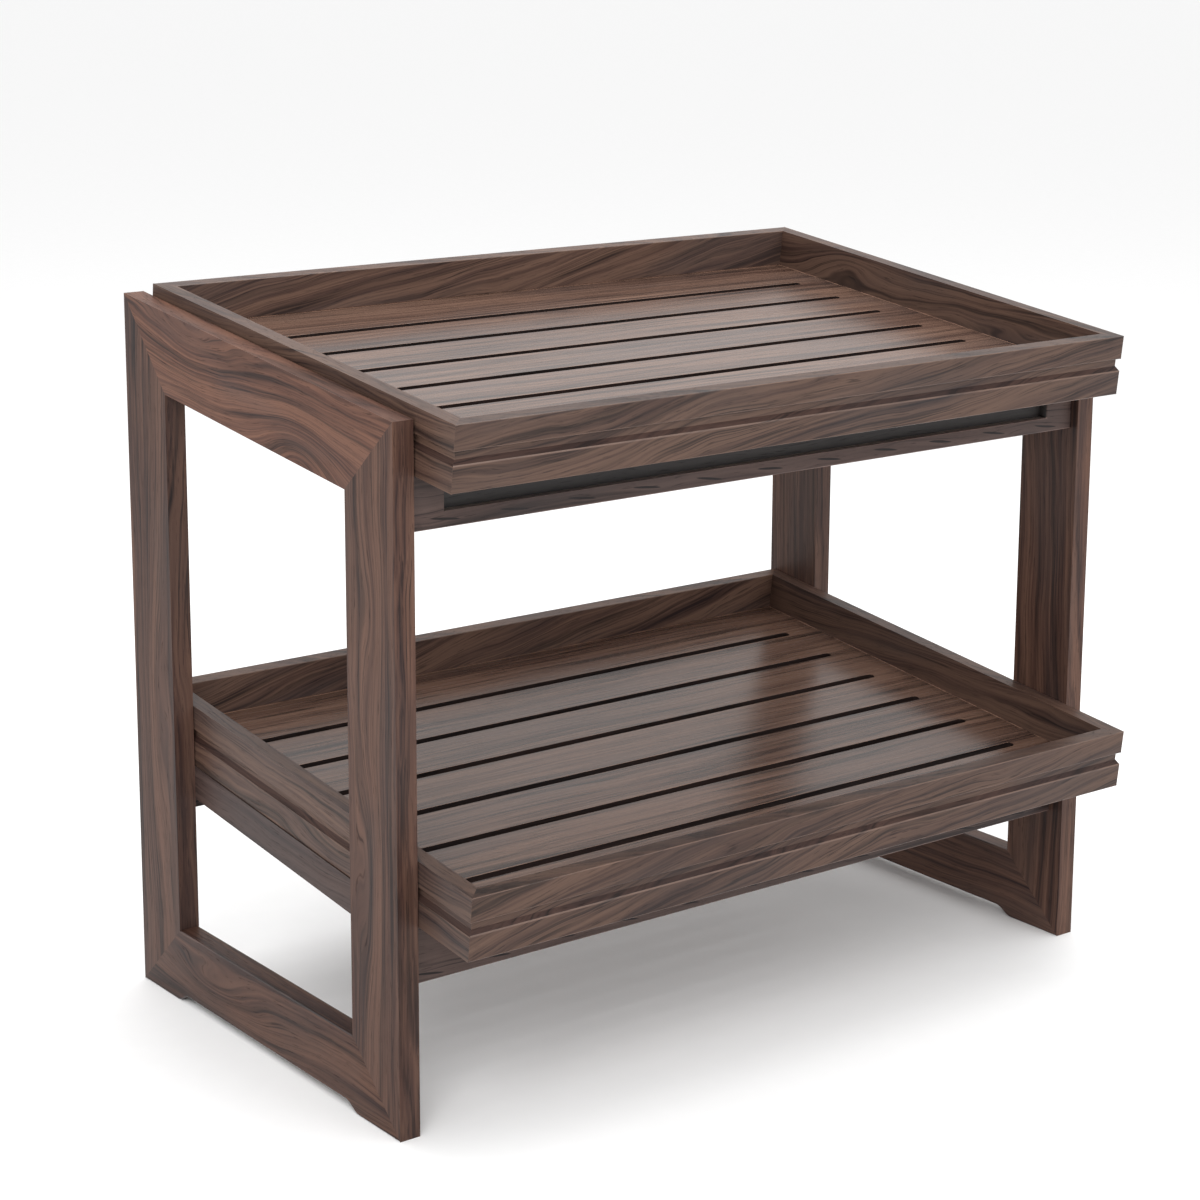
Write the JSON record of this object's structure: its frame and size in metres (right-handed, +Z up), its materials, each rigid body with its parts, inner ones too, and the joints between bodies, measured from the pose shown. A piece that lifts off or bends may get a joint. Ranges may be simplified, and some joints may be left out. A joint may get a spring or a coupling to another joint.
{
  "type": "two-tier luggage rack",
  "caption": "Dark walnut luggage rack: two mitred side frames carrying an upper and a lower slotted tray that both fall towards the front.",
  "frame": {"origin": "on the floor, at the middle of the rack's outline seen from above", "axes": "+X across the rack's width, from the left side frame to the right; -Y towards the front, the low side of the trays; +Z up"},
  "size_m": [0.72, 0.469, 0.6012],
  "materials": {
    "frame_walnut": "satin lacquer",
    "rail_walnut": "satin lacquer",
    "tray_walnut": "satin lacquer",
    "deck_walnut": "satin lacquer",
    "beech": "unfinished turned wood",
    "screw_steel": "zinc plated"
  },
  "bodies": {
    "rack_frame": {"left_front_stile": "frame_walnut", "left_rear_stile": "frame_walnut", "left_top_rail": "frame_walnut", "left_bottom_rail": "frame_walnut", "right_front_stile": "frame_walnut", "right_rear_stile": "frame_walnut", "right_top_rail": "frame_walnut", "right_bottom_rail": "frame_walnut", "left_frame_dowels": "beech", "right_frame_dowels": "beech", "upper_front_apron": "rail_walnut", "upper_rear_apron": "rail_walnut", "lower_front_apron": "rail_walnut", "lower_rear_apron": "rail_walnut", "upper_apron_dowels": "beech", "lower_apron_dowels": "beech", "upper_left_bearer": "rail_walnut", "upper_right_bearer": "rail_walnut", "lower_left_bearer": "rail_walnut", "lower_right_bearer": "rail_walnut", "upper_bearer_screws": "screw_steel", "lower_bearer_screws": "screw_steel", "upper_tray_pegs": "beech", "lower_tray_pegs": "beech"},
    "upper_tray": {"upper_tray_front": "tray_walnut", "upper_tray_back": "tray_walnut", "upper_tray_left": "tray_walnut", "upper_tray_right": "tray_walnut", "upper_tray_deck": "deck_walnut", "upper_tray_splines": "beech"},
    "lower_tray": {"lower_tray_front": "tray_walnut", "lower_tray_back": "tray_walnut", "lower_tray_left": "tray_walnut", "lower_tray_right": "tray_walnut", "lower_tray_deck": "deck_walnut", "lower_tray_splines": "beech"}
  },
  "joints": [
    {"name": "upper_tray_lift", "type": "slide", "parent": "rack_frame", "child": "upper_tray", "axis": [0, -0.1132, 0.9936], "range_m": [0, 0.06]},
    {"name": "lower_tray_lift", "type": "slide", "parent": "rack_frame", "child": "lower_tray", "axis": [0, -0.1132, 0.9936], "range_m": [0, 0.06]}
  ]
}
